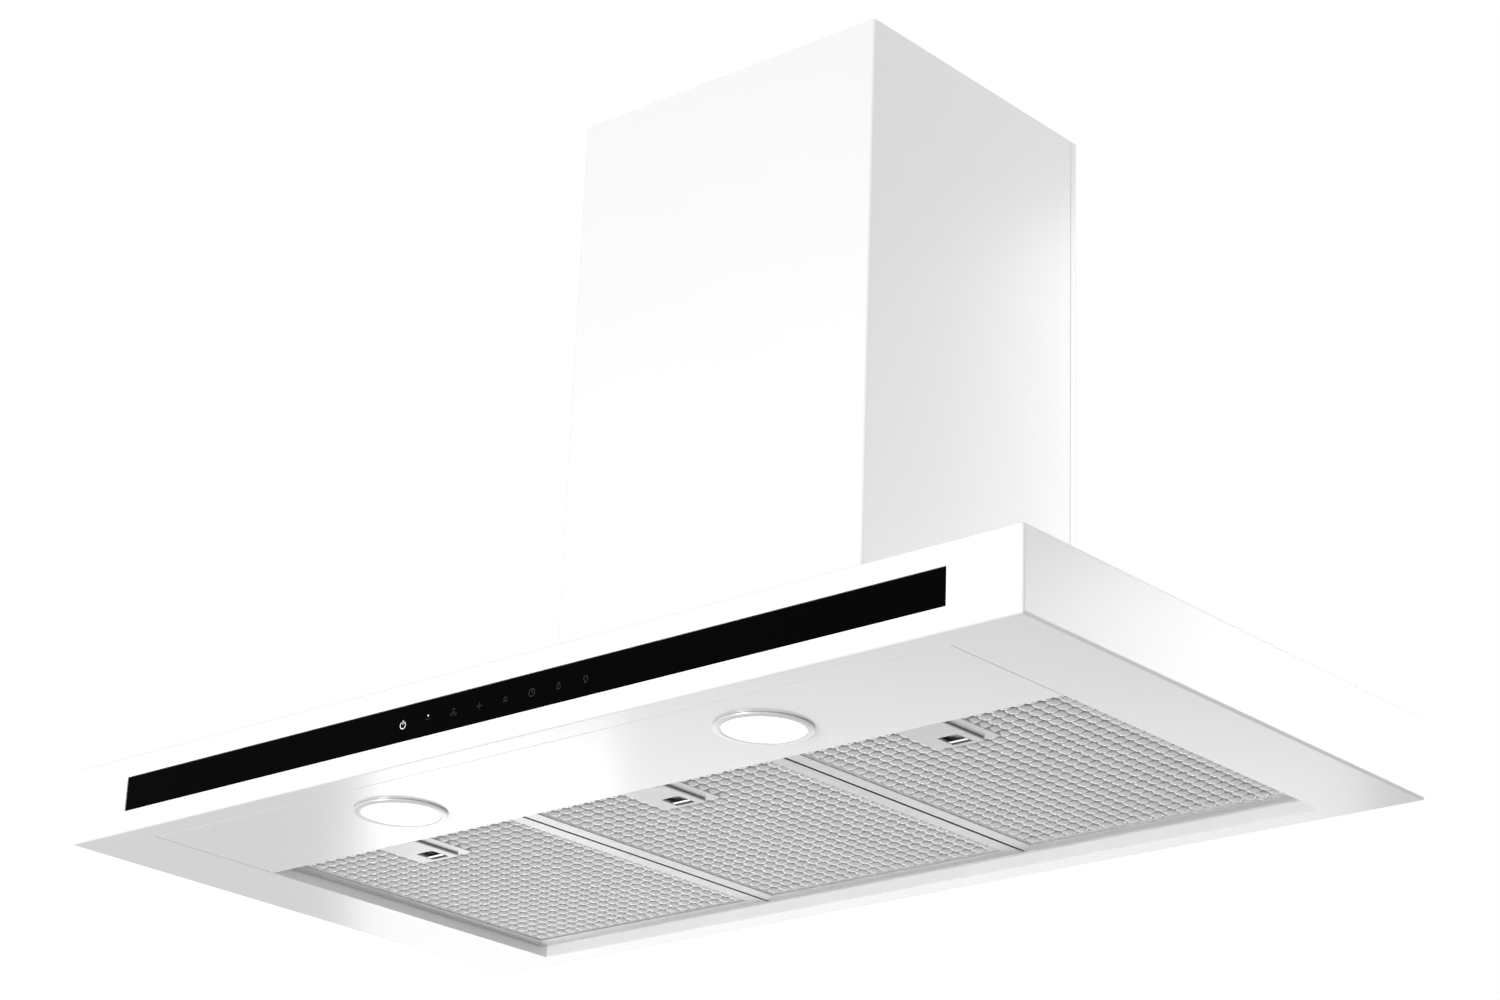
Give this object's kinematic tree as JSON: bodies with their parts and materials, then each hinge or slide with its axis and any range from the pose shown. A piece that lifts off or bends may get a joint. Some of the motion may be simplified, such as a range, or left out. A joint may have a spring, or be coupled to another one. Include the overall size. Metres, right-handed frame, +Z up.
{
  "type": "wall-mounted range hood",
  "caption": "Wall-mounted kitchen range hood: flat white canopy with a black touch strip, telescopic rectangular chimney, round lamps and latched mesh grease filters.",
  "frame": {"origin": "centre of the canopy's back face, on the wall plane", "axes": "+Z up, -Y out of the wall towards the user, +X to the right of someone who faces the hood"},
  "size_m": [0.9, 0.47, 0.6078],
  "materials": {
    "white_enamel": "gloss white baked enamel on folded steel sheet",
    "black_glass": "polished black glass with faint touch symbols behind it",
    "filter_aluminium": "satin aluminium, crimped mesh",
    "chrome": "bright plated",
    "lamp_diffuser": "frosted white, lit from behind",
    "zinc_steel": "zinc-coated sheet and turned steel",
    "heat_sink_aluminium": "cast, matt",
    "grey_plastic": "moulded, fine texture",
    "black_plastic": "moulded, satin",
    "lead_insulation": "matt cable sheath"
  },
  "bodies": {
    "fixed_hood": {"canopy_shell": "white_enamel", "lamp_panel": "white_enamel", "filter_rear_rail": "white_enamel", "control_strip_glass": "black_glass", "touch_board": "black_plastic", "lamp_bezel_left": "chrome", "lamp_lens_left": "lamp_diffuser", "lamp_can_left": "heat_sink_aluminium", "lamp_lead_left": "lead_insulation", "lamp_bezel_right": "chrome", "lamp_lens_right": "lamp_diffuser", "lamp_can_right": "heat_sink_aluminium", "lamp_lead_right": "lead_insulation", "touch_lead": "lead_insulation", "motor_lead": "lead_insulation", "lower_chimney_cover": "white_enamel", "blower_box": "zinc_steel", "box_screw_1": "zinc_steel", "box_screw_2": "zinc_steel", "box_screw_3": "zinc_steel", "box_screw_4": "zinc_steel", "scroll_front": "grey_plastic", "scroll_rear": "grey_plastic", "motor": "zinc_steel", "motor_spider": "zinc_steel", "outlet_spigot": "grey_plastic", "flap_pin": "zinc_steel", "control_box": "grey_plastic", "control_box_lid": "grey_plastic", "capacitor": "grey_plastic", "led_driver": "black_plastic", "cable_gland": "black_plastic", "wall_hook_left": "zinc_steel", "wall_hook_right": "zinc_steel"},
    "upper_section": {"upper_chimney_cover": "white_enamel", "ceiling_bracket": "zinc_steel"},
    "fan_wheel": {"impeller": "black_plastic", "motor_shaft": "zinc_steel"},
    "front_flap": {"flap_front": "black_plastic"},
    "rear_flap": {"flap_rear": "black_plastic"},
    "filter_left": {"filter_frame_left": "filter_aluminium", "filter_mesh_left": "filter_aluminium", "latch_plate_left": "filter_aluminium", "latch_spring_left": "zinc_steel"},
    "latch_left": {"latch_slider_left": "chrome"},
    "filter_centre": {"filter_frame_centre": "filter_aluminium", "filter_mesh_centre": "filter_aluminium", "latch_plate_centre": "filter_aluminium", "latch_spring_centre": "zinc_steel"},
    "latch_centre": {"latch_slider_centre": "chrome"},
    "filter_right": {"filter_frame_right": "filter_aluminium", "filter_mesh_right": "filter_aluminium", "latch_plate_right": "filter_aluminium", "latch_spring_right": "zinc_steel"},
    "latch_right": {"latch_slider_right": "chrome"}
  },
  "joints": [
    {"name": "upper_section_lift", "type": "slide", "parent": "fixed_hood", "child": "upper_section", "axis": [0, 0, 1], "range_m": [0, 0.38]},
    {"name": "fan_spin", "type": "hinge", "parent": "fixed_hood", "child": "fan_wheel", "pos_m": [0.04625, -0.131, 0.15025], "axis": [0, 1, 0], "continuous": true},
    {"name": "front_flap_swing", "type": "hinge", "parent": "fixed_hood", "child": "front_flap", "pos_m": [0, -0.131, 0.3056], "axis": [-1, 0, 0], "range_deg": [0, 75]},
    {"name": "rear_flap_swing", "type": "hinge", "parent": "fixed_hood", "child": "rear_flap", "pos_m": [0, -0.131, 0.3056], "axis": [1, 0, 0], "range_deg": [0, 75]},
    {"name": "filter_left_tilt", "type": "hinge", "parent": "fixed_hood", "child": "filter_left", "pos_m": [-0.252, -0.026, -0.0195], "axis": [1, 0, 0], "range_deg": [0, 60]},
    {"name": "latch_left_slide", "type": "slide", "parent": "filter_left", "child": "latch_left", "axis": [0, 1, 0], "range_m": [0, 0.004], "stiffness_N_per_m": 300, "springref_m": -0.006, "deforming": ["latch_spring_left"]},
    {"name": "filter_centre_tilt", "type": "hinge", "parent": "fixed_hood", "child": "filter_centre", "pos_m": [0, -0.026, -0.0195], "axis": [1, 0, 0], "range_deg": [0, 60]},
    {"name": "latch_centre_slide", "type": "slide", "parent": "filter_centre", "child": "latch_centre", "axis": [0, 1, 0], "range_m": [0, 0.004], "stiffness_N_per_m": 300, "springref_m": -0.006, "deforming": ["latch_spring_centre"]},
    {"name": "filter_right_tilt", "type": "hinge", "parent": "fixed_hood", "child": "filter_right", "pos_m": [0.252, -0.026, -0.0195], "axis": [1, 0, 0], "range_deg": [0, 60]},
    {"name": "latch_right_slide", "type": "slide", "parent": "filter_right", "child": "latch_right", "axis": [0, 1, 0], "range_m": [0, 0.004], "stiffness_N_per_m": 300, "springref_m": -0.006, "deforming": ["latch_spring_right"]}
  ]
}
